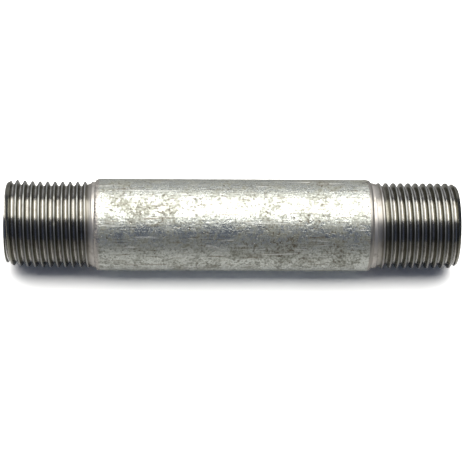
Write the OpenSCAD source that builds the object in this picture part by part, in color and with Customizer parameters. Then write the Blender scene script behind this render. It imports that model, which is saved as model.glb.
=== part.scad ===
/* [Tube] */
// Length of the nipple, end face to end face
length = 109; // [60:1:250]
// Outside diameter of the bare steel tube
tube_d = 22.2; // [21.2:0.1:22.2]
// Wall thickness of the tube
wall = 2.8; // [2.3:0.1:2.9]
// Thickness of the zinc coat, on the barrel and in the bore
zinc = 0.1; // [0.05:0.01:0.12]
// Cut made by the reamer at each mouth of the bore
ream = 0.3; // [0.1:0.05:0.4]
// Height of the weld bead that runs along the bore
bead_h = 0.15; // [0.08:0.01:0.2]
// Where the bead stands round the bore
bead_angle = 300; // [0:5:355]

/* [Threads] */
// Distance from one turn to the next: 14 turns to the inch
pitch = 1.814; // [1.8:0.002:1.83]
// Pitch diameter, where the ridge and the groove are equally wide
pitch_d = 19.793; // [19.6:0.01:19.8]
// Diameter over the crests, a little worn below the nominal 20.955
crest_d = 20.8; // [20.68:0.01:20.95]
// Diameter at the roots of the grooves
root_d = 18.631; // [18.5:0.01:18.7]
// Angle between the two flanks of a ridge
flank_angle = 55; // [54:0.5:56]

/* [Left end] */
// From the end face to the foot of the shoulder
left_reach = 21.4; // [16:0.1:24]
// Length of the rounded shoulder up to the barrel
left_shoulder = 1.4; // [0.6:0.1:2]
// Plain turned band at the foot of the shoulder
left_band = 0.3; // [0.2:0.1:2]
// Length over which the grooves get shallower and run out
left_run_out = 2.5; // [1.5:0.1:4]
// How far the lead chamfer cuts below the crests at the end face
left_chamfer = 0.8; // [0.4:0.05:1.05]
// Length of the lead chamfer along the tube
left_lead = 1.6; // [1:0.1:4]
// Angle round the tube where a crest meets the end face
left_start = 260; // [0:5:355]

/* [Right end] */
// From the end face to the foot of the shoulder
right_reach = 20.9; // [16:0.1:24]
// Length of the rounded shoulder up to the barrel
right_shoulder = 1.0; // [0.6:0.1:2]
// Plain turned band at the foot of the shoulder
right_band = 0.4; // [0.2:0.1:2]
// Length over which the grooves get shallower and run out
right_run_out = 3.7; // [1.5:0.1:4]
// How far the lead chamfer cuts below the crests at the end face
right_chamfer = 0.8; // [0.4:0.05:1.05]
// Length of the lead chamfer along the tube
right_lead = 1.4; // [1:0.1:4]
// Angle round the tube where a crest meets the end face
right_start = 200; // [0:5:355]

/* [Hidden] */
// The tube lies along X, with the middle of its axis at the origin
$fn = 240;
half_len = length / 2;
tube_r = tube_d / 2;
bore_r = tube_r - wall;
crest_r = crest_d / 2;
root_r = root_d / 2;
pitch_r = pitch_d / 2;
slope = tan(flank_angle / 2);
// Facets in one turn of a thread
steps = 48;
// The bead is the cap of a round that pokes through the bore's wall, in this many flats
bead_r = 2.9;
bead_axis = bore_r - bead_h + bead_r;
bead_flats = 8;

// Half the width of a ridge at a radius: the flanks are straight from root to crest
function half_width(r) = pitch / 4 - (r - pitch_r) * slope;

// Quarter of an ellipse: how much of the step is climbed at t of the shoulder's length
function climb(t) = sqrt(1 - (1 - t) * (1 - t));

// Outline of the shoulder as [distance from the end face, radius]
function shoulder(reach, long) = [for (t = [0, 0.08, 0.25, 0.55, 1])
    [reach + long * t, crest_r + (tube_r - crest_r) * climb(t)]];

// Outline of the steel from the end face to the barrel
function steel_end(reach, band, run_out, long) = [
    [0, bore_r + ream],
    [0, root_r],
    [reach - band - run_out, root_r],
    [reach - band, crest_r],
    each shoulder(reach, long)];

// An outline laid out from the left end face or from the right one, raised by a coat, or reversed
function from_left(points) = [for (p = points) [p[0] - half_len, p[1]]];
function from_right(points) = [for (p = points) [half_len - p[0], p[1]]];
function raised(points, coat) = [for (p = points) [p[0], p[1] + coat]];
function reversed(points) = [for (i = [len(points) - 1:-1:0]) points[i]];

// Points along a round, from one angle to another, with its centre at [centre, 0]
function arc(centre, r, from, to) = [for (i = [0:bead_flats])
    let (a = from + (to - from) * i / bead_flats) [centre + r * cos(a), r * sin(a)]];

// Half the angle of the bead's cap, grown by a coat, and half its width where it meets the bore
function cap_angle(coat) = let (r = bead_r + coat)
    acos((bead_axis * bead_axis + r * r - bore_r * bore_r) / (2 * bead_axis * r));
function cap_width(coat) = (bead_r + coat) * sin(cap_angle(coat));
function cap(coat) = arc(bead_axis, bead_r + coat, 180 - cap_angle(coat), 180 + cap_angle(coat));

// Body of revolution about X with an outline of [x, radius] points
module turned(points) {
    rotate([90, 0, 90]) rotate_extrude() polygon([for (p = points) [p[1], p[0]]]);
}

// Right-hand ridge round X from x0 to x1, a little proud of the crest and sunk below the root.
// At angle 0 a crest stands at x_zero.
module ridge(x0, x1, x_zero) {
    foot = root_r - 0.2;
    tip = crest_r + 0.1;
    section = [
        [-half_width(foot), foot],
        [-half_width(tip), tip],
        [half_width(tip), tip],
        [half_width(foot), foot]];
    n = len(section);
    first = x_zero + (floor((x0 - x_zero) / pitch) - 1) * pitch;
    count = ceil(((x1 - first) / pitch + 1) * steps);
    points = [for (i = [0:count], s = section) let (a = i * 360 / steps)
        [first + i * pitch / steps + s[0], s[1] * cos(a), s[1] * sin(a)]];
    faces = [
        [for (k = [n - 1:-1:0]) k],
        for (i = [0:count - 1], k = [0:n - 1])
            let (a = n * i + k, b = n * i + (k + 1) % n)
            each [[a, b, b + n], [a, b + n, a + n]],
        [for (k = [0:n - 1]) n * count + k]];
    polyhedron(points, faces, convexity = 30);
}

// Space that a thread fills: lead chamfer, crests, then the cone where the grooves run out
function thread_space(reach, band, run_out, chamfer, lead) = [
    [0, root_r],
    [0, crest_r - chamfer],
    [lead, crest_r],
    [reach - band, crest_r],
    [reach - band - run_out, root_r]];

// Bar along the bore with an outline of [distance from the axis, distance across] points
module bead_bar(points) {
    rotate([bead_angle, 0, 0])
        translate([ream - half_len, 0, 0])
            rotate([0, 90, 0])
                linear_extrude(length - 2 * ream) polygon([for (p = points) [-p[1], p[0]]]);
}

// Bar with the bead's cap, grown by a coat, that reaches out past the bore's wall
module deep_bead(coat) {
    out = bore_r + 1;
    bead_bar([each cap(coat), [out, -cap_width(coat)], [out, cap_width(coat)]]);
}

// Steel tube, turned down at both ends to the roots of the threads
module steel_tube() {
    color("#8f9190")
        turned([
            [ream - half_len, bore_r],
            each from_left(steel_end(left_reach, left_band, left_run_out, left_shoulder)),
            each reversed(from_right(
                steel_end(right_reach, right_band, right_run_out, right_shoulder))),
            [half_len - ream, bore_r]]);
}

// Ridge of the thread at the left end
module left_thread() {
    color("#7b7871")
        intersection() {
            ridge(-half_len, left_reach - half_len, -half_len - pitch * left_start / 360);
            turned(from_left(
                thread_space(left_reach, left_band, left_run_out, left_chamfer, left_lead)));
        }
}

// Ridge of the thread at the right end
module right_thread() {
    color("#7b7871")
        intersection() {
            ridge(half_len - right_reach, half_len, half_len - pitch * right_start / 360);
            turned(from_right(
                thread_space(right_reach, right_band, right_run_out, right_chamfer, right_lead)));
        }
}

// Zinc coat on the left shoulder and the barrel; the right shoulder was turned bare
module barrel_zinc() {
    skin = from_left(shoulder(left_reach, left_shoulder));
    right_edge = half_len - right_reach - right_shoulder;
    color("#b9bdba")
        turned([
            each raised(skin, zinc),
            [right_edge, tube_r + zinc],
            [right_edge, tube_r],
            each reversed(skin)]);
}

// Zinc coat in the bore, which rises over the weld bead
module bore_zinc() {
    color("#a3a8a6")
        difference() {
            union() {
                turned([
                    [ream - half_len, bore_r - zinc],
                    [half_len - ream, bore_r - zinc],
                    [half_len - ream, bore_r],
                    [ream - half_len, bore_r]]);
                intersection() {
                    deep_bead(zinc);
                    rotate([0, 90, 0])
                        cylinder(h = length - 2 * ream, r = bore_r, center = true);
                }
            }
            deep_bead(0);
        }
}

// Weld bead inside the tube, where the strip's edges were joined
module weld_bead() {
    half = asin(cap_width(0) / bore_r);
    back = arc(0, bore_r, -half, half);
    color("#8a8781")
        bead_bar([each cap(0), for (i = [1:bead_flats - 1]) back[i]]);
}

steel_tube();
left_thread();
right_thread();
barrel_zinc();
bore_zinc();
weld_bead();
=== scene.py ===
# %% [markdown]
# # A threaded pipe nipple
#
# A nipple is a short length of steel tube with a male pipe thread cut at each end. This one is
# hot-dip galvanised tube, so its barrel wears a mottled zinc coat, while the two threads were cut
# after the dip and show bare steel. The lesson builds each surface the way the workshop made it:
# the threads from the rule of a helix, the barrel and the bore as turned shapes.

# %% Load the CAD frame
import math

import bmesh
import bpy
import numpy as np
from mathutils import Matrix, Vector, noise


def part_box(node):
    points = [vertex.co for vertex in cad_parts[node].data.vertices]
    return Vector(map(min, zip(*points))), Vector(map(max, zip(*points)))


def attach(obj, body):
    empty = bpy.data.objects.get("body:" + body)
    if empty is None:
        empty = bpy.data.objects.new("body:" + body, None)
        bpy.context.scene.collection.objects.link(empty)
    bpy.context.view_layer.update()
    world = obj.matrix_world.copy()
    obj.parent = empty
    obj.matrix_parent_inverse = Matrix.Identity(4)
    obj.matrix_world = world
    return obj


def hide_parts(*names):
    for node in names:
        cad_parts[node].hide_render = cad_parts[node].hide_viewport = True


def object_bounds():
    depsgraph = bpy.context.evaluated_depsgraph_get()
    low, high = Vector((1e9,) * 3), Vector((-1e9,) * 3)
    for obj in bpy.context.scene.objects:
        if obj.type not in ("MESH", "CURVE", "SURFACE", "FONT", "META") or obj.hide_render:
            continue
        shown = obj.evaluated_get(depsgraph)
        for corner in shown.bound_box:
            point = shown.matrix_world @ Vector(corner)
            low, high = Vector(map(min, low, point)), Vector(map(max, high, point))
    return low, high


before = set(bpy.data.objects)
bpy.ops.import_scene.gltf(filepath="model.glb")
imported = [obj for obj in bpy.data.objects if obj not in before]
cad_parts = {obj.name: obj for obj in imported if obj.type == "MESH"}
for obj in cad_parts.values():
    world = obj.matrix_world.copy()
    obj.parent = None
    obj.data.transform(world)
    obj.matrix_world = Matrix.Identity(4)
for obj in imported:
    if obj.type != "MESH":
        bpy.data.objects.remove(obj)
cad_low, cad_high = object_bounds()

print("CAD nodes:", ", ".join(sorted(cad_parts)))
print("CAD box in mm:", [round(1000 * v, 2) for v in (*cad_low, *cad_high)])

# %% [markdown]
# ## Sizes
#
# The tube lies along X with its middle at the origin. Every length that the frame knows is asked
# from it. The rest are the sizes of the standard 1/2 inch pipe thread, 14 turns to the inch, and
# they are written once here, in metres.

# %% Sizes of the tube and its threads
MM = 0.001
PITCH = 1.814 * MM
PITCH_R = 19.793 / 2 * MM  # where ridge and groove are equally wide
CREST_R = 20.8 / 2 * MM
ROOT_R = 18.631 / 2 * MM
FLANK_ANGLE = math.radians(55)
TUBE_R = 11.1 * MM
ZINC = 0.1 * MM
BORE_R = 8.3 * MM  # of the steel, under the zinc
REAM = 0.3 * MM
RIGHT_SHOULDER = 1.0 * MM
LEFT_SHOULDER = 1.4 * MM

LEFT_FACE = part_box("steel_tube")[0].x
RIGHT_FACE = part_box("steel_tube")[1].x
LEFT_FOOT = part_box("barrel_zinc")[0].x  # foot of the rounded shoulder
ZINC_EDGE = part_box("barrel_zinc")[1].x  # where the coat was cut away at the right
RIGHT_FOOT = ZINC_EDGE + RIGHT_SHOULDER
FLOOR_Z = cad_low.z
print(f"left thread {1000 * (LEFT_FOOT - LEFT_FACE):.1f} mm long, "
      f"right thread {1000 * (RIGHT_FACE - RIGHT_FOOT):.1f} mm")

# %% [markdown]
# ## Two helpers
#
# Shader and geometry trees are the same thing to Python: nodes, values and links. One helper adds
# any node: its settings come by name, its inputs in order or by name, and an input may be a plain
# value, a socket, or another node, whose first output is then linked. The other helper turns a
# colour written the web's way, as sRGB, into the linear light that shaders count in.

# %% Helpers for trees and colours
def add(tree, kind, *inputs, at=None, **settings):
    """Adds a node with its settings, and fills its inputs with values or links."""
    made = tree.nodes.new(kind)
    for label, value in settings.items():
        setattr(made, label, value)
    for key, value in (dict(enumerate(inputs)) | (at or {})).items():
        if isinstance(value, bpy.types.Node):
            value = value.outputs[0]
        if isinstance(value, bpy.types.NodeSocket):
            tree.links.new(value, made.inputs[key])
        elif value is not None:
            made.inputs[key].default_value = value
    return made


def colour(code):
    """An sRGB colour such as "c8cbc5" as linear red, green, blue and alpha."""
    channels = [int(code[i:i + 2], 16) / 255 for i in (0, 2, 4)]
    return (*((c / 12.92 if c <= 0.04045 else ((c + 0.055) / 1.055) ** 2.4) for c in channels), 1)


# %% [markdown]
# ## Finishing a mesh
#
# Every piece ends the same way: points that coincide are joined, the faces are turned outwards,
# and it is shaded smooth except across real edges. Printing the open edges and the volume shows at
# once whether it is a closed solid.

# %% Make a finished piece from a mesh
SMOOTH_UP_TO = math.radians(32)
JOIN_WITHIN = 0.0004 * MM


def finished(name, mesh):
    """A closed piece in the scene, made from the mesh."""
    shape = bmesh.new()
    shape.from_mesh(mesh)
    bmesh.ops.remove_doubles(shape, verts=shape.verts, dist=JOIN_WITHIN)
    bmesh.ops.dissolve_degenerate(shape, edges=shape.edges, dist=JOIN_WITHIN)
    bmesh.ops.recalc_face_normals(shape, faces=shape.faces)
    if shape.calc_volume(signed=True) < 0:
        bmesh.ops.reverse_faces(shape, faces=shape.faces)
    open_edges = sum(not edge.is_manifold for edge in shape.edges)
    volume = shape.calc_volume()
    triangles = sum(len(face.verts) - 2 for face in shape.faces)
    shape.to_mesh(mesh)
    shape.free()
    mesh.shade_smooth()
    mesh.set_sharp_from_angle(angle=SMOOTH_UP_TO)
    mesh.name = name
    piece = bpy.data.objects.new(name, mesh)
    bpy.context.collection.objects.link(piece)
    print(f"{name}: {triangles} triangles, {open_edges} open edges, {volume / MM ** 3:.0f} mm3")
    return piece


# %% [markdown]
# ## The threaded ends
#
# A die cuts the thread: it turns one full circle for each pitch it moves along. The same rule
# makes the mesh. A flat grid is wound round the tube: one side of it counts steps round the helix
# and the other side crosses a single pitch, from root to root. Winding it lays each turn against
# the last, and merging the seam gives one skin whose rows of faces follow the ridge exactly, so the
# crest stays crisp. A screw modifier could sweep a profile too, but it can't fade the grooves out
# or cut the lead chamfer.
#
# The height over the helix is a few smooth limits on one slanted line: the flank, held down at
# the crest and up at the root, then cut by the chamfer's cone at the end of the tube, and raised by
# the cone where the die stopped. A little chatter and a few nicks come from noise with a fixed
# place. Last, the open rim at the end of the tube is drawn inwards four times, as face, reamed
# mouth, bore and inner end, so that the piece is solid. The mesh also carries three attributes
# that the steel's finish reads: top, deep and scuffed.

# %% The tree that winds a threaded end
CHATTER_SCALE = 700.0  # the cutter's chatter, 1.4 mm long
NICK_SCALE = 420.0  # a noise of 2.4 mm, of which the nicks are the peaks
NICKS_FROM, NICKS_FULL = 0.66, 0.76  # of the noise, so that only a few places are nicked
TOP_FROM = 0.25  # the flat top begins at this share of the crest's rounding
SCUFF_BUILD_UP = 1.4  # above 1 keeps the first shallow grooves clean


def wound_end_tree():
    """Geometry nodes that make one solid threaded end from its named sizes."""
    tree = bpy.data.node_groups.new("Threaded end", "GeometryNodeTree")
    named = {
        "Steps per turn": "Int", "Points per pitch": "Int", "Turns": "Int",
        "Pitch": "Float", "Pitch radius": "Float", "Crest radius": "Float",
        "Root radius": "Float", "Half flank tangent": "Float",
        "Crest rounding": "Float", "Root rounding": "Float",
        "Strip start": "Float", "Face": "Float", "Foot": "Float",
        "Chamfer depth": "Float", "Chamfer length": "Float",
        "Full depth to": "Float", "Grooves end at": "Float",
        "Bore radius": "Float", "Ream": "Float",
        "Chatter": "Float", "Nick depth": "Float", "Out of true": "Vector",
        "Out of true length": "Float", "Material": "Material",
    }
    for label, kind in named.items():
        tree.interface.new_socket(label, in_out="INPUT", socket_type="NodeSocket" + kind)
    tree.interface.new_socket("Mesh", in_out="OUTPUT", socket_type="NodeSocketGeometry")
    size = add(tree, "NodeGroupInput").outputs

    # the flat grid: X counts the steps, Y crosses one pitch
    steps = add(tree, "ShaderNodeMath", size["Turns"], size["Steps per turn"], operation="MULTIPLY")
    grid = add(tree, "GeometryNodeMeshGrid", steps, size["Points per pitch"],
               add(tree, "ShaderNodeMath", steps, 1.0, operation="ADD"),
               add(tree, "ShaderNodeMath", size["Points per pitch"], 1.0, operation="ADD"))
    flat = add(tree, "ShaderNodeSeparateXYZ", add(tree, "GeometryNodeInputPosition"))
    step = add(tree, "ShaderNodeMath", operation="ROUND", at={0: add(
        tree, "ShaderNodeMath", steps, 0.5, flat.outputs["X"], operation="MULTIPLY_ADD")})
    point = add(tree, "ShaderNodeMath", operation="ROUND", at={0: add(
        tree, "ShaderNodeMath", size["Points per pitch"], 0.5, flat.outputs["Y"],
        operation="MULTIPLY_ADD")})

    # where a point goes round the tube and along it
    around = add(tree, "ShaderNodeMath", step, size["Steps per turn"], operation="MODULO")
    angle = add(tree, "ShaderNodeMath", operation="MULTIPLY", at={1: math.tau, 0: add(
        tree, "ShaderNodeMath", around, size["Steps per turn"], operation="DIVIDE")})
    cosine = add(tree, "ShaderNodeMath", angle, operation="COSINE")
    sine = add(tree, "ShaderNodeMath", angle, operation="SINE")
    outward = add(tree, "ShaderNodeCombineXYZ", 0.0, cosine, sine)
    turn = add(tree, "ShaderNodeMath", step, size["Steps per turn"], operation="DIVIDE")
    across = add(tree, "ShaderNodeMath", point, size["Points per pitch"], operation="DIVIDE")
    moved = add(tree, "ShaderNodeMath", turn, size["Pitch"], size["Strip start"],
                operation="MULTIPLY_ADD")
    loose = add(tree, "ShaderNodeMath", across, size["Pitch"], moved, operation="MULTIPLY_ADD")
    crest = add(tree, "ShaderNodeMath", 0.5, size["Pitch"], moved, operation="MULTIPLY_ADD")
    along = add(tree, "ShaderNodeClamp", loose,
                add(tree, "ShaderNodeMath", size["Face"], size["Foot"], operation="MINIMUM"),
                add(tree, "ShaderNodeMath", size["Face"], size["Foot"], operation="MAXIMUM"))

    # the ridge: height falls with the distance from the nearest crest
    half_pitch = add(tree, "ShaderNodeMath", size["Pitch"], 0.5, operation="MULTIPLY")
    quarter_pitch = add(tree, "ShaderNodeMath", size["Pitch"], 0.25, operation="MULTIPLY")
    off_crest = add(tree, "ShaderNodeMath", operation="PINGPONG", at={1: half_pitch, 0: add(
        tree, "ShaderNodeMath", along, crest, operation="SUBTRACT")})
    flank = add(tree, "ShaderNodeMath", operation="DIVIDE", at={
        0: add(tree, "ShaderNodeMath", quarter_pitch, off_crest, operation="SUBTRACT"),
        1: size["Half flank tangent"]})
    slanted = add(tree, "ShaderNodeMath", flank, size["Pitch radius"], operation="ADD")
    topped = add(tree, "ShaderNodeMath", slanted, size["Crest radius"],
                 size["Crest rounding"], operation="SMOOTH_MIN")
    ridge = add(tree, "ShaderNodeMath", topped, size["Root radius"], size["Root rounding"],
                operation="SMOOTH_MAX")

    # the chamfer at the tube's end, and the cone where the grooves run out
    inset = add(tree, "ShaderNodeMath", operation="ABSOLUTE", at={0: add(
        tree, "ShaderNodeMath", along, size["Face"], operation="SUBTRACT")})
    chamfer = add(tree, "ShaderNodeMapRange", clamp=False, at={
        "Value": inset, "From Min": 0.0, "From Max": size["Chamfer length"],
        "To Min": add(tree, "ShaderNodeMath", size["Crest radius"], size["Chamfer depth"],
                      operation="SUBTRACT"),
        "To Max": size["Crest radius"]})
    run_out = add(tree, "ShaderNodeMapRange", clamp=True, at={
        "Value": inset, "From Min": size["Full depth to"], "From Max": size["Grooves end at"],
        "To Min": size["Root radius"], "To Max": size["Crest radius"]})
    cut = add(tree, "ShaderNodeMath", ridge, chamfer, size["Crest rounding"],
              operation="SMOOTH_MIN")
    smooth_skin = add(tree, "ShaderNodeMath", cut, run_out, operation="MAXIMUM")

    # the finish needs to know where the ridge's flat top is: 1 on it, 0 on the flanks and roots
    uncut = add(tree, "ShaderNodeMath", add(
        tree, "ShaderNodeMath", slanted, run_out, operation="MAXIMUM"), chamfer,
        operation="MINIMUM")
    top = add(tree, "ShaderNodeMapRange", interpolation_type="SMOOTHSTEP", at={
        "Value": add(tree, "ShaderNodeMath", uncut, size["Crest radius"], operation="SUBTRACT"),
        "From Min": add(tree, "ShaderNodeMath", size["Crest rounding"], TOP_FROM,
                        operation="MULTIPLY"),
        "From Max": size["Crest rounding"], "To Min": 0.0, "To Max": 1.0})

    # how far the die rubbed the tube bare in the run-out: 0 in full grooves, 1 at the end
    rubbed = add(tree, "ShaderNodeMapRange", at={
        "Value": run_out, "From Min": size["Root radius"], "From Max": size["Crest radius"],
        "To Min": 0.0, "To Max": 1.0})
    scuffed = add(tree, "ShaderNodeMath", rubbed, SCUFF_BUILD_UP, operation="POWER")

    # and how deep a point lies: 0 at the crest, 1 at the root
    # the steel's colour reads deep to paint a highlight at the root and shade on the flanks
    deep = add(tree, "ShaderNodeMapRange", at={
        "Value": smooth_skin, "From Min": size["Root radius"], "From Max": size["Crest radius"],
        "To Min": 1.0, "To Max": 0.0})

    # wear: chatter everywhere, nicks on the upper half of the ridge, none at the foot
    place = add(tree, "ShaderNodeVectorMath", outward, operation="SCALE",
                at={"Scale": size["Crest radius"]})
    place = add(tree, "ShaderNodeVectorMath", place,
                add(tree, "ShaderNodeCombineXYZ", along, 0.0, 0.0), operation="ADD")
    chatter = add(tree, "ShaderNodeTexNoise", place, at={
        "Scale": CHATTER_SCALE, "Detail": 2.0})
    nicks = add(tree, "ShaderNodeTexNoise", place, at={"Scale": NICK_SCALE, "Detail": 1.0})
    nick = add(tree, "ShaderNodeMapRange", at={
        "Value": nicks, "From Min": NICKS_FROM, "From Max": NICKS_FULL, "To Min": 0.0,
        "To Max": size["Nick depth"]})
    high_up = add(tree, "ShaderNodeMapRange", at={
        "Value": smooth_skin, "From Min": size["Pitch radius"],
        "From Max": size["Crest radius"], "To Min": 0.0, "To Max": 1.0})
    uneven = add(tree, "ShaderNodeMath", add(
        tree, "ShaderNodeMath", chatter, 0.5, operation="SUBTRACT"), size["Chatter"],
        operation="MULTIPLY")
    worn = add(tree, "ShaderNodeMath", uneven, add(
        tree, "ShaderNodeMath", nick, high_up, operation="MULTIPLY"), operation="SUBTRACT")
    reach = add(tree, "ShaderNodeMath", operation="ABSOLUTE", at={0: add(
        tree, "ShaderNodeMath", size["Foot"], size["Face"], operation="SUBTRACT")})
    fade = add(tree, "ShaderNodeMapRange", at={
        "Value": inset, "From Min": size["Grooves end at"], "From Max": reach,
        "To Min": 1.0, "To Max": 0.0})
    radius = add(tree, "ShaderNodeMath", worn, fade, smooth_skin, operation="MULTIPLY_ADD")

    # a die that starts a little off centre cuts the first turns out of true with the bore
    lean = add(tree, "ShaderNodeMapRange", interpolation_type="SMOOTHSTEP", at={
        "Value": inset, "From Min": 0.0, "From Max": size["Out of true length"],
        "To Min": 1.0, "To Max": 0.0})
    shift = add(tree, "ShaderNodeVectorMath", size["Out of true"], operation="SCALE",
                at={"Scale": lean})
    ring = add(tree, "ShaderNodeVectorMath", outward, operation="SCALE", at={"Scale": radius})
    centre = add(tree, "ShaderNodeVectorMath", shift,
                 add(tree, "ShaderNodeCombineXYZ", along, 0.0, 0.0), operation="ADD")
    wound = add(tree, "ShaderNodeVectorMath", ring, centre, operation="ADD")

    kept = grid
    for label, data_type, value in (("outward", "FLOAT_VECTOR", outward), ("top", "FLOAT", top),
                                    ("deep", "FLOAT", deep), ("scuffed", "FLOAT", scuffed)):
        kept = add(tree, "GeometryNodeStoreNamedAttribute", data_type=data_type, domain="POINT",
                   at={"Geometry": kept, "Name": label, "Value": value})
    skin = add(tree, "GeometryNodeSetPosition", at={"Geometry": kept, "Position": wound})
    skin = add(tree, "GeometryNodeMergeByDistance", at={"Geometry": skin, "Distance": JOIN_WITHIN})

    # the rim at the tube's end is drawn inwards: face, mouth, bore, inner end
    direction = add(tree, "ShaderNodeMath", operation="SIGN", at={0: add(
        tree, "ShaderNodeMath", size["Foot"], size["Face"], operation="SUBTRACT")})
    mouth = add(tree, "ShaderNodeMath", size["Ream"], direction, size["Face"],
                operation="MULTIPLY_ADD")
    mouth_radius = add(tree, "ShaderNodeMath", size["Bore radius"], size["Ream"], operation="ADD")
    is_rim = add(tree, "FunctionNodeCompare", data_type="INT", operation="EQUAL", at={
        2: add(tree, "GeometryNodeInputMeshEdgeNeighbors"), 3: 1})
    here = add(tree, "ShaderNodeSeparateXYZ", add(tree, "GeometryNodeInputPosition"))
    halfway = add(tree, "ShaderNodeMath", operation="MULTIPLY", at={1: 0.5, 0: add(
        tree, "ShaderNodeMath", size["Face"], size["Foot"], operation="ADD")})
    off_middle = add(tree, "ShaderNodeMath", here, halfway, operation="SUBTRACT")
    at_face = add(tree, "FunctionNodeCompare", data_type="FLOAT", operation="LESS_THAN", at={
        0: add(tree, "ShaderNodeMath", off_middle, direction, operation="MULTIPLY"), 1: 0.0})
    selected = add(tree, "FunctionNodeBooleanMath", is_rim, at_face, operation="AND")
    stored = add(tree, "GeometryNodeInputNamedAttribute", data_type="FLOAT_VECTOR",
                 at={"Name": "outward"})
    for x, ring_radius in ((size["Face"], mouth_radius), (mouth, size["Bore radius"]),
                           (size["Foot"], size["Bore radius"]),
                           (size["Foot"], size["Crest radius"])):
        drawn = add(tree, "GeometryNodeExtrudeMesh", mode="EDGES", at={
            "Mesh": skin, "Selection": selected, "Offset Scale": 0.0})
        selected = drawn.outputs["Top"]
        flat_ring = add(tree, "ShaderNodeVectorMath", stored, operation="SCALE",
                        at={"Scale": ring_radius})
        placed = add(tree, "ShaderNodeVectorMath", flat_ring,
                     add(tree, "ShaderNodeCombineXYZ", x, 0.0, 0.0), operation="ADD")
        skin = add(tree, "GeometryNodeSetPosition", at={
            "Geometry": drawn, "Selection": selected, "Position": placed})
    solid = add(tree, "GeometryNodeMergeByDistance", at={"Geometry": skin, "Distance": JOIN_WITHIN})
    solid = add(tree, "GeometryNodeRemoveAttribute", at={"Geometry": solid, "Name": "outward"})
    solid = add(tree, "GeometryNodeRealizeInstances", solid)
    solid = add(tree, "GeometryNodeSetMaterial", at={
        "Geometry": solid, "Material": size["Material"]})
    add(tree, "NodeGroupOutput", solid)
    print("Threaded end tree:", len(tree.nodes), "nodes")
    return tree


# %% [markdown]
# A tree runs as a modifier. Its inputs are set by each socket's identifier, which is the key
# that the modifier stores, and before anything evaluates it. The evaluated result is copied out as
# a plain mesh, and the holder with its modifier is thrown away.

# %% Run a tree and keep its mesh
def grown(name, tree, values):
    """Runs the tree with these named values and returns the finished piece."""
    holder = bpy.data.objects.new("holder", bpy.data.meshes.new("holder"))
    bpy.context.collection.objects.link(holder)
    modifier = holder.modifiers.new(tree.name, "NODES")
    modifier.node_group = tree
    keys = {item.name: item.identifier for item in tree.interface.items_tree
            if item.item_type == "SOCKET" and item.in_out == "INPUT"}
    for label, value in values.items():
        modifier[keys[label]] = value
    depsgraph = bpy.context.evaluated_depsgraph_get()
    mesh = bpy.data.meshes.new_from_object(holder.evaluated_get(depsgraph), depsgraph=depsgraph)
    holder.modifiers.remove(modifier)
    bpy.data.objects.remove(holder)
    return finished(name, mesh)


# %% [markdown]
# ## The finishes
#
# What tells these metals apart is how rough they are, at what scale that changes, and what the
# process left: crystals and runs of zinc, the die's scored flanks, the saw's face. The IOR stays at
# its default and the base colour is the colour of the reflection. Patterns read Object coordinates,
# which are metres on these pieces, so a noise scale of 1000 makes features of about one millimetre.

# %% A material with an empty metal shader
def metal(name):
    """A new material with its tree and its shader."""
    material = bpy.data.materials.new(name)
    material.use_nodes = True
    tree = material.node_tree
    tree.nodes.clear()
    shader = add(tree, "ShaderNodeBsdfPrincipled", at={"Metallic": 1.0})
    add(tree, "ShaderNodeOutputMaterial", shader)
    return material, tree, shader


# %% [markdown]
# **Hot-dip galvanised zinc.** The tube is pulled out of molten zinc, wiped and cooled. Fresh zinc
# is a bright bluish metal, but its skin turns to a thin dull grey oxide that scatters light, and it
# does so in ragged clouds some 3 mm across with a frosty grain of 0.6 mm. So the finish has two
# states, and one mask tips the colour, the metallic share and the roughness together. Handling adds
# rubs along the tube, 0.4 mm wide and 8 mm long, that leave dirt, and wider scrapes that take the
# oxide off. The frost also tilts the skin a few degrees, which is what breaks up the edges of a
# reflection. The rest are layers, laid one over another: each is a noise, the values of it between
# which the layer fades in, how strong it gets, and its colour.

# %% Galvanised zinc
PATCHES = 100.0  # noise scales count features to the metre, so this is 10 mm
CLOUDS = 320.0  # 3 mm
FROST = 1700.0  # 0.6 mm
RUBS = 2500.0  # 0.4 mm wide
SCRAPES = 1500.0  # 0.7 mm wide
DIRT = 1100.0  # 0.9 mm
STRETCH = 0.05  # rubs and scrapes are 20 times as long as they are wide
HALF_DULL = 1.275  # the mask's value where an evenly mixed coat turns from bright to dull
THIN_ZINC = "c4beb7"  # steel that shows through where the coat thins out
GRAIN = 0.12 * MM  # how far the frost's bump stands up


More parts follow.
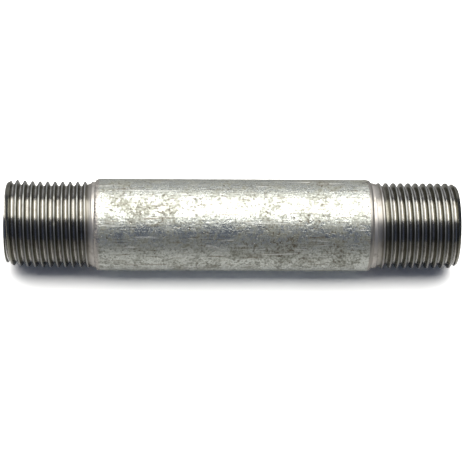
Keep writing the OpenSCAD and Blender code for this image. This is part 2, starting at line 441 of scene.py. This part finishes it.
def galvanised(name, bright, dull, oxide):
    """Clouded zinc; oxide is about how much of it is dull, from 0 to 1."""
    material, tree, shader = metal(name)
    place = add(tree, "ShaderNodeTexCoord").outputs["Object"]
    lengthwise = add(tree, "ShaderNodeMapping", place, at={"Scale": (STRETCH, 1.0, 1.0)})
    patches = add(tree, "ShaderNodeTexNoise", place, at={
        "Scale": PATCHES, "Detail": 2.0, "Roughness": 0.5})
    clouds = add(tree, "ShaderNodeTexNoise", place, at={
        "Scale": CLOUDS, "Detail": 7.0, "Roughness": 0.72, "Distortion": 0.5})
    frost = add(tree, "ShaderNodeTexNoise", place, at={
        "Scale": FROST, "Detail": 4.0, "Roughness": 0.72})
    rubs = add(tree, "ShaderNodeTexNoise", lengthwise, at={
        "Scale": RUBS, "Detail": 2.0, "Roughness": 0.6})
    scrapes = add(tree, "ShaderNodeTexNoise", lengthwise, at={
        "Scale": SCRAPES, "Detail": 3.0, "Roughness": 0.6, "Distortion": 0.3})
    specks = add(tree, "ShaderNodeTexNoise", place, at={
        "Scale": DIRT, "Detail": 3.0, "Roughness": 0.75})
    dirt = add(tree, "ShaderNodeMath", patches, 0.4, specks, operation="MULTIPLY_ADD")

    # the mask of the dull oxide: clouds with frost in them, more where the coat is patchy
    mask = clouds
    for pattern, weight in ((frost, 0.85), (patches, 0.4), (scrapes, 0.3)):
        mask = add(tree, "ShaderNodeMath", pattern, weight, mask, operation="MULTIPLY_ADD")
    middle = HALF_DULL + 0.25 * (0.5 - oxide)
    dulled = add(tree, "ShaderNodeMapRange", at={
        "Value": mask, "From Min": middle - 0.09, "From Max": middle + 0.13,
        "To Min": 0.0, "To Max": 1.0})
    tone = add(tree, "ShaderNodeMix", data_type="RGBA", at={
        0: dulled, 6: colour(bright), 7: colour(dull)})

    # the layers over it, in order, from the bottom up
    share = {}
    for layer, pattern, starts, full, most, code in (
            ("hollows in the frost", frost, 0.5, 0.68, 0.7, "73736a"),
            ("brown rubs", rubs, 0.6, 0.68, 0.75, "857b6c"),
            ("pale scrapes", scrapes, 0.62, 0.68, 0.9, "efefea"),
            ("dirt and rust", dirt, 0.79, 0.89, 0.85, "675d4d")):
        share[layer] = add(tree, "ShaderNodeMapRange", at={
            "Value": pattern, "From Min": starts, "From Max": full,
            "To Min": 0.0, "To Max": most})
        tone = add(tree, "ShaderNodeMix", data_type="RGBA", at={
            0: share[layer], 6: tone.outputs[2], 7: colour(code)})
    worn = add(tree, "ShaderNodeAttribute", attribute_name="worn").outputs["Fac"]
    tone = add(tree, "ShaderNodeMix", data_type="RGBA", at={
        0: worn, 6: tone.outputs[2], 7: colour(THIN_ZINC)})
    tree.links.new(tone.outputs[2], shader.inputs["Base Color"])

    # oxide and scrapes scatter more light than bright zinc does
    metallic = add(tree, "ShaderNodeMapRange", at={
        "Value": add(tree, "ShaderNodeMath", dulled, share["pale scrapes"],
                     operation="MAXIMUM"),
        "To Min": 0.95, "To Max": 0.55})
    tree.links.new(metallic.outputs[0], shader.inputs["Metallic"])
    gloss = add(tree, "ShaderNodeMapRange", at={
        "Value": dulled, "To Min": 0.26, "To Max": 0.48})
    tree.links.new(gloss.outputs[0], shader.inputs["Roughness"])

    # the height of the skin: frost, clouds and rubs, with hollows under the dirt
    height = frost
    for pattern, weight in ((clouds, 1.2), (rubs, 0.3), (share["dirt and rust"], -0.4)):
        height = add(tree, "ShaderNodeMath", pattern, weight, height, operation="MULTIPLY_ADD")
    bump = add(tree, "ShaderNodeBump", at={
        "Strength": 1.0, "Distance": GRAIN, "Height": height})
    tree.links.new(bump.outputs[0], shader.inputs["Normal"])
    print(f"{name}: {len(tree.nodes)} nodes")
    return material


zinc_barrel = galvanised("hot_dip_zinc", "d9dcd5", "a0a093", 0.4)
zinc_bore = galvanised("hot_dip_zinc_in_bore", "b4b8b6", "7d8180", 0.8)

# %% [markdown]
# ** Die-cut steel.** The die leaves smooth grooves with fine score rings. Their colour is painted
# light along the root, as a painted highlight, and dark on the flanks, as painted shade. The flat
# crests were hardly cut: they are the rubbed skin of the tube, dull and grey. Where the grooves
# run out the die only scuffed it, and the steel is pale. The thread's mesh says which part of the
# ridge a point is on: top is 1 on the crests, deep is 1 at the roots, and scuffed is 1 where the
# grooves have run out. A piece without these attributes reads 0 for all three, so the turned
# shoulder and the weld bead have one colour, stains and the rings.

# %% Cut steel on the threads, turned steel on the shoulder
STAINS = 420.0  # 2.4 mm
RING_STRETCH = 0.04  # rings are 25 times as long round the tube as they are wide
SCUFFED_STEEL = "cdc8c2"
OIL_STAIN = "6c665b"


def bare_steel(name, root, flank, crest, roughness, ring_scale):
    """Steel with rings round the axis, in three colours.

    roughness is the groove's and the crest's, and ring_scale counts the rings to a metre.
    """
    material, tree, shader = metal(name)
    place = add(tree, "ShaderNodeTexCoord").outputs["Object"]
    top, deep, scuffed = (
        add(tree, "ShaderNodeAttribute", attribute_name=label).outputs["Fac"]
        for label in ("top", "deep", "scuffed"))
    stains = add(tree, "ShaderNodeTexNoise", place, at={
        "Scale": STAINS, "Detail": 4.0, "Roughness": 0.65})
    rings = add(tree, "ShaderNodeTexNoise",
                add(tree, "ShaderNodeMapping", place,
                    at={"Scale": (1.0, RING_STRETCH, RING_STRETCH)}),
                at={"Scale": ring_scale, "Detail": 2.0})

    # colours: the flank's, then the root's, crest's and run-out's over it, then stains over all
    # the root's paler colour is a painted highlight, the flank's darker base colour painted shade
    painted_root_highlight = add(tree, "ShaderNodeMapRange", interpolation_type="SMOOTHSTEP", at={
        "Value": deep, "From Min": 0.8, "From Max": 1.0, "To Min": 0.0, "To Max": 1.0})
    stained = add(tree, "ShaderNodeMapRange", at={
        "Value": stains, "From Min": 0.54, "From Max": 0.7, "To Min": 0.0, "To Max": 0.5})
    below = colour(flank)
    for share, code in ((painted_root_highlight, root), (top, crest), (scuffed, SCUFFED_STEEL),
                        (stained, OIL_STAIN)):
        below = add(tree, "ShaderNodeMix", data_type="RGBA", at={
            0: share, 6: below, 7: colour(code)}).outputs[2]
    tree.links.new(below, shader.inputs["Base Color"])

    # uncut and scuffed steel is duller than a cut groove
    rough_share = add(tree, "ShaderNodeMath", top, scuffed, operation="MAXIMUM")
    gloss = add(tree, "ShaderNodeMapRange", at={
        "Value": rough_share, "To Min": roughness[0], "To Max": roughness[1]})
    tree.links.new(gloss.outputs[0], shader.inputs["Roughness"])
    metallic = add(tree, "ShaderNodeMapRange", at={
        "Value": rough_share, "To Min": 1.0, "To Max": 0.88})
    tree.links.new(metallic.outputs[0], shader.inputs["Metallic"])
    bump = add(tree, "ShaderNodeBump", at={
        "Strength": 0.3, "Distance": 0.01 * MM, "Height": rings})
    tree.links.new(bump.outputs[0], shader.inputs["Normal"])
    print(f"{name}: {len(tree.nodes)} nodes")
    return material


# root colour cccac8 is a painted highlight, flank colour 817f74 is painted shade
steel_thread = bare_steel("die_cut_steel", "cccac8", "817f74", "9b9c9c", (0.23, 0.4), 5000.0)
steel_turned = bare_steel("turned_steel", *3 * ["aca8a1"], (0.42, 0.42), 4000.0)
steel_weld = bare_steel("welded_steel", *3 * ["9b9894"], (0.5, 0.5), 2500.0)

# %% [markdown]
# ## Wind both ends
#
# The two ends share one tree. They differ in where the die started round the tube, how long the
# grooves take to run out, and how deep the lead chamfer is. The strip starts at least one pitch
# outside the piece, so that its loose ends are pressed flat on the end planes and vanish.

# %% Make the threaded ends
STEPS_PER_TURN = 144
POINTS_PER_PITCH = 22
CREST_ROUNDING = 0.2 * MM
ROOT_ROUNDING = 0.42 * MM
CHATTER = 0.03 * MM  # from peak to hollow
NICK_DEPTH = 0.1 * MM
thread_tree = wound_end_tree()


def threaded_end(name, face, foot, start_degrees, **sizes):
    """One threaded end: its crest meets the end face at start_degrees round the tube."""
    low = min(face, foot)
    spare = math.ceil((face - low) / PITCH) + 2
    strip_start = face - PITCH * (0.5 + start_degrees / 360 + spare)
    turns = math.ceil((max(face, foot) - strip_start) / PITCH) + 1
    return grown(name, thread_tree, {
        "Steps per turn": STEPS_PER_TURN, "Points per pitch": POINTS_PER_PITCH,
        "Turns": turns,
        "Pitch": PITCH, "Pitch radius": PITCH_R, "Crest radius": CREST_R,
        "Root radius": ROOT_R, "Half flank tangent": math.tan(FLANK_ANGLE / 2),
        "Crest rounding": CREST_ROUNDING, "Root rounding": ROOT_ROUNDING,
        "Strip start": strip_start, "Face": face, "Foot": foot,
        "Bore radius": BORE_R, "Ream": REAM, "Chatter": CHATTER, "Nick depth": NICK_DEPTH,
        "Material": steel_thread} | sizes)


left_end = threaded_end("threaded_end_left", LEFT_FACE, LEFT_FOOT, 260, **{
    "Chamfer depth": 0.8 * MM, "Chamfer length": 1.6 * MM,
    "Full depth to": 18.6 * MM, "Grooves end at": 21.1 * MM,
    "Out of true": (0.0, 0.34 * MM, 0.3 * MM), "Out of true length": 8.0 * MM})
right_end = threaded_end("threaded_end_right", RIGHT_FACE, RIGHT_FOOT, 200, **{
    "Chamfer depth": 0.8 * MM, "Chamfer length": 1.4 * MM,
    "Full depth to": 16.8 * MM, "Grooves end at": 20.5 * MM,
    "Out of true": (0.0, 0.0, 0.0), "Out of true length": 5.0 * MM})

# %% [markdown]
# ## Turned pieces
#
# The barrel, its coat and the lining of the bore are bodies of revolution, so one function turns
# a closed outline about X. The zinc is not quite round: it froze in low runs and lumps. That relief
# is real geometry, a few hundredths of a millimetre cut below the nominal surface, sampled every
# quarter of a millimetre along the tube and every 1.4 degrees round it.

# %% Turn an outline about the tube's axis
def turned(name, outline, steps, material, relief=None, worn=None):
    """A solid of revolution from a closed list of (x, radius).

    relief changes a point's radius, and worn says how bare it is at an x, from 0 to 1.
    """
    count = len(outline)
    points = []
    for x, radius in outline:
        for k in range(steps):
            angle = math.tau * k / steps
            r = relief(x, radius, angle) if relief else radius
            points.append((x, r * math.cos(angle), r * math.sin(angle)))
    faces = [(i * steps + k, i * steps + (k + 1) % steps,
              (i + 1) % count * steps + (k + 1) % steps, (i + 1) % count * steps + k)
             for i in range(count) for k in range(steps)]
    mesh = bpy.data.meshes.new(name)
    mesh.from_pydata(points, [], faces)
    mesh.materials.append(material)
    if worn:
        layer = mesh.attributes.new("worn", "FLOAT", "POINT")
        layer.data.foreach_set("value", [worn(point[0]) for point in points])
    return finished(name, mesh)


def shoulder(foot, barrel, points=9):
    """The rounded step from the turned band up to the barrel, a quarter of an ellipse."""
    rise = TUBE_R - CREST_R
    return [(foot + (barrel - foot) * t, CREST_R + rise * math.sqrt(1 - (1 - t) ** 2))
            for t in ((i / (points - 1)) ** 2 for i in range(points))]


# %% Steel of the barrel, between the two threaded ends
STEEL_STEPS = 144
left_rise = shoulder(LEFT_FOOT, LEFT_FOOT + LEFT_SHOULDER)
right_rise = shoulder(RIGHT_FOOT, ZINC_EDGE)
barrel_steel = turned(
    "barrel_steel",
    [(LEFT_FOOT, BORE_R), *left_rise, *reversed(right_rise), (RIGHT_FOOT, BORE_R)],
    STEEL_STEPS, steel_turned)

# %% Zinc coat on the barrel
COAT_STEPS = 256
SAMPLE = 0.25 * MM
RUN_DEPTH, LUMP_DEPTH, GRAIN_DEPTH, PIT_DEPTH = 0.010, 0.026, 0.010, 0.2  # mm for a noise of 1
DEEPEST = 0.9 * ZINC / MM
PITS_ABOVE = 0.55  # of the noise, so that pits are few


def zinc_relief(x, radius, angle):
    """Low runs along the tube, lumps and a few pits, all cut below the nominal surface."""
    if radius < TUBE_R + 0.5 * ZINC and x > LEFT_FOOT + LEFT_SHOULDER:
        return radius
    y, z = 11 * math.cos(angle), 11 * math.sin(angle)  # on the barrel, in mm
    at = x / MM
    runs = noise.noise(Vector((at * 0.06, y * 0.35, z * 0.35)))
    lumps = noise.noise(Vector((at * 0.7, y * 0.7, z * 0.7)) + Vector((40, 0, 0)))
    grain = noise.noise(Vector((at * 1.6, y * 1.6, z * 1.6)) + Vector((0, 70, 0)))
    pits = noise.noise(Vector((at * 0.9, y * 0.9, z * 0.9)) + Vector((9, 9, 90)))
    depth = (RUN_DEPTH * (1 + runs) + LUMP_DEPTH * (1 + lumps) + GRAIN_DEPTH * (1 + grain)
             + PIT_DEPTH * max(0.0, pits - PITS_ABOVE))
    return radius - min(depth, DEEPEST) * MM


def coat_wear(x):
    """How far the coat is worn off: 1 on the lower half of the left shoulder, 0 on the barrel."""
    return min(1.0, max(0.0, (LEFT_FOOT + LEFT_SHOULDER - x) / (0.5 * LEFT_SHOULDER)))


coat_left = [(x, r + ZINC) for x, r in left_rise]
coat_run = [(x, TUBE_R + ZINC) for x in np.arange(
    LEFT_FOOT + LEFT_SHOULDER + SAMPLE, ZINC_EDGE - 0.3 * MM, SAMPLE)]
coat_edge = [(ZINC_EDGE - 0.15 * MM, TUBE_R + ZINC), (ZINC_EDGE - 0.03 * MM, TUBE_R + 0.8 * ZINC),
             (ZINC_EDGE, TUBE_R + 0.4 * ZINC), (ZINC_EDGE, TUBE_R)]
barrel_coat = turned(
    "barrel_zinc_coat",
    [*coat_left, *coat_run, *coat_edge, *reversed(left_rise)],
    COAT_STEPS, zinc_barrel, zinc_relief, coat_wear)

# %% Zinc lining of the bore, raised over the weld bead
bead_middle = (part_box("weld_bead")[0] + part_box("weld_bead")[1]) / 2
BEAD_ANGLE = math.atan2(bead_middle.z, bead_middle.y)
LINING = 0.1 * MM
BEAD_HALF_WIDTH = 0.1  # radians round the bore
BEAD_HEIGHT = 0.15 * MM
LINING_STEPS, LINING_SAMPLES = 192, 214
bore_low, bore_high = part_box("bore_zinc")[0].x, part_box("bore_zinc")[1].x


def lining_relief(x, radius, angle):
    """Runs of zinc along the bore, and the hump that just covers the weld bead."""
    if radius >= BORE_R:
        return radius
    off = abs((angle - BEAD_ANGLE + math.pi) % math.tau - math.pi)
    hump = BEAD_HEIGHT * 1.02 * max(0.0, math.cos(min(off / BEAD_HALF_WIDTH, 1) * math.pi / 2))
    y, z = 8 * math.cos(angle), 8 * math.sin(angle)  # on the bore's wall, in mm
    runs = noise.noise(Vector((x / MM * 0.08, y * 0.8, z * 0.8)))
    return radius - hump + 0.02 * MM * runs


lining_x = np.linspace(bore_low, bore_high, LINING_SAMPLES)
bore_lining = turned(
    "bore_zinc_lining",
    [(bore_low, BORE_R), *((x, BORE_R - LINING) for x in lining_x), (bore_high, BORE_R)],
    LINING_STEPS, zinc_bore, lining_relief)

# %% [markdown]
# ## Tie the pieces to the model
#
# Each piece rides on the one rigid body and stands for a CAD node, which is hidden. The slot
# names in the list are not used. The weld bead's own CAD shape is right, so it stays, with a
# material.

# %% Ride on the body and hide the replaced nodes
for piece, node, slot in (
        (left_end, "left_thread", "cut_thread_steel"),
        (right_end, "right_thread", "cut_thread_steel"),
        (barrel_steel, "steel_tube", "turned_steel"),
        (barrel_coat, "barrel_zinc", "barrel_zinc"),
        (bore_lining, "bore_zinc", "bore_zinc")):
    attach(piece, "root")
    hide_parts(node)
    print(f"{piece.name} stands for {node}")

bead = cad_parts["weld_bead"]
for material_slot in bead.material_slots:
    material_slot.material = steel_weld
print("weld_bead stays, in", steel_weld.name)

# %% [markdown]
# ## Floor, light and camera
#
# Metal shows what surrounds it, so the light is built as surroundings. A wide soft box hangs
# overhead and a little behind: it makes the broad bright band. Nothing but a dark room stands in
# front, which gives the dark band below it. A dim wall behind lifts the upper rim, and the pale
# floor shows again along the bottom. In the metal the floor is brightest close to the tube and
# falls off away from it: that is a pool of light painted into the floor's colour for reflections.

# %% The floor
# REACH and DIMMEST shape a painted pool of light that the floor shows only in reflections
REACH = 10.5 * MM  # in reflections the floor's level is this over the distance from the axis
DIMMEST = 0.22  # far from the tube
TO_THE_LENS = 1.5


def sweep():
    """A white paper floor, paler to the lens than in reflections, with a painted pool of light."""
    material = bpy.data.materials.new("white_paper")
    material.use_nodes = True
    tree = material.node_tree
    tree.nodes.clear()
    place = add(tree, "ShaderNodeTexCoord").outputs["Object"]
    fibre = add(tree, "ShaderNodeTexNoise", place, at={"Scale": 900.0, "Detail": 2.0})
    tint = add(tree, "ShaderNodeMapRange", at={
        "Value": fibre, "To Min": 0.98, "To Max": 1.02})
    # in reflections the floor's level is a painted pool of light, brightest near the tube's axis
    off_axis = add(tree, "ShaderNodeMath", operation="ABSOLUTE", at={0: add(
        tree, "ShaderNodeSeparateXYZ", place).outputs["Y"]})
    spread = add(tree, "ShaderNodeMath", REACH, add(
        tree, "ShaderNodeMath", off_axis, 2 * MM, operation="ADD"), operation="DIVIDE")
    painted_light_pool = add(tree, "ShaderNodeClamp", spread, DIMMEST, 1.0)
    level = add(tree, "ShaderNodeMapRange", at={
        "Value": add(tree, "ShaderNodeLightPath").outputs["Is Camera Ray"],
        "To Min": painted_light_pool, "To Max": TO_THE_LENS})
    white = add(tree, "ShaderNodeMath", tint, level, operation="MULTIPLY")
    paper = add(tree, "ShaderNodeBsdfDiffuse",
                add(tree, "ShaderNodeCombineColor", white, white, white))
    add(tree, "ShaderNodeOutputMaterial", paper)
    return material


FLOOR_SIZE = 6.0
half = FLOOR_SIZE / 2
floor_mesh = bpy.data.meshes.new("floor")
floor_mesh.from_pydata([(-half, -half, FLOOR_Z), (half, -half, FLOOR_Z), (half, half, FLOOR_Z),
                        (-half, half, FLOOR_Z)], [], [(0, 1, 2, 3)])
floor_mesh.materials.append(sweep())
floor = bpy.data.objects.new("floor", floor_mesh)
bpy.context.collection.objects.link(floor)
print(f"floor {FLOOR_SIZE} m wide at {FLOOR_Z / MM:.1f} mm")

# %% The lights
def soft_box(name, centre, target, width, depth, radiance):
    """A rectangular light of even radiance, facing its target."""
    lamp = bpy.data.lights.new(name, "AREA")
    lamp.color = colour("fffdf7")[:3]
    lamp.shape = "RECTANGLE"
    lamp.size, lamp.size_y = width, depth
    lamp.energy = 4 * radiance * width * depth  # the power that Blender asks for
    box = bpy.data.objects.new(name, lamp)
    bpy.context.collection.objects.link(box)
    box.location = centre
    box.rotation_euler = (Vector(target) - Vector(centre)).to_track_quat("-Z", "Y").to_euler()
    print(f"{name}: {width:.2f} by {depth:.2f} m, {lamp.energy:.1f} W")


BOX_HEIGHT, BOX_WIDTH, BOX_RADIANCE = 0.7, 1.5, 2.6
FRONT_EDGE = math.radians(66)  # seen from the tube, above the front horizon
BACK_EDGE = math.radians(53)  # above the back horizon
front_y = -BOX_HEIGHT / math.tan(FRONT_EDGE)
back_y = BOX_HEIGHT / math.tan(BACK_EDGE)
middle_y = (front_y + back_y) / 2
soft_box("overhead", (0, middle_y, BOX_HEIGHT), (0, middle_y, 0),
         BOX_WIDTH, back_y - front_y, BOX_RADIANCE)
WALL_BEHIND, WALL_MIDDLE, WALL_WIDTH, WALL_RADIANCE = 1.1, 0.42, 2.4, 0.35
soft_box("back_wall", (0, WALL_BEHIND, WALL_MIDDLE), (0, 0, WALL_MIDDLE),
         WALL_WIDTH, 2 * WALL_MIDDLE, WALL_RADIANCE)

ROOM_LIGHT, BACKDROP = 0.13, 0.9  # of the room in the metal, and of what the lens sees behind
world = bpy.data.worlds.new("room")
world.use_nodes = True
world.node_tree.nodes.clear()
lit = add(world.node_tree, "ShaderNodeMapRange", at={
    "Value": add(world.node_tree, "ShaderNodeLightPath").outputs["Is Camera Ray"],
    "To Min": ROOM_LIGHT, "To Max": BACKDROP})
room = add(world.node_tree, "ShaderNodeBackground", at={
    "Color": colour("bfd2ff"), "Strength": lit})
add(world.node_tree, "ShaderNodeOutputWorld", room)
bpy.context.scene.world = world
bpy.context.scene.view_settings.view_transform = "Standard"

# %% The camera
ELEVATION = math.radians(49)
AZIMUTH = math.radians(-3)  # it stands a little to the left of the middle
DISTANCE = 0.4
FALL = math.radians(0.22)  # the tube's right end is this much lower in the picture
ASIDE = 0.71 * MM  # the picture's centre is a little right of the tube's middle
BELOW = 2.43 * MM  # and a little below its axis
SENSOR_WIDTH, FOCAL_LENGTH = 36, 125.95  # millimetres, as a lens is sold
back = Vector((math.sin(AZIMUTH) * math.cos(ELEVATION),
               -math.cos(AZIMUTH) * math.cos(ELEVATION), math.sin(ELEVATION)))
level = (Vector((1, 0, 0)) - back.x * back).normalized()
right = Matrix.Rotation(FALL, 3, back) @ level
up = back.cross(right)
lens = bpy.data.cameras.new("camera")
lens.sensor_width = SENSOR_WIDTH
lens.lens = FOCAL_LENGTH
lens.clip_start, lens.clip_end = 0.01, 20
camera = bpy.data.objects.new("camera", lens)
bpy.context.collection.objects.link(camera)
turned_to = Matrix((right, up, back)).transposed().to_4x4()
camera.matrix_world = Matrix.Translation(
    ASIDE * right - BELOW * up + DISTANCE * back) @ turned_to
bpy.context.scene.camera = camera
print("camera at", [round(v, 3) for v in camera.matrix_world.translation])
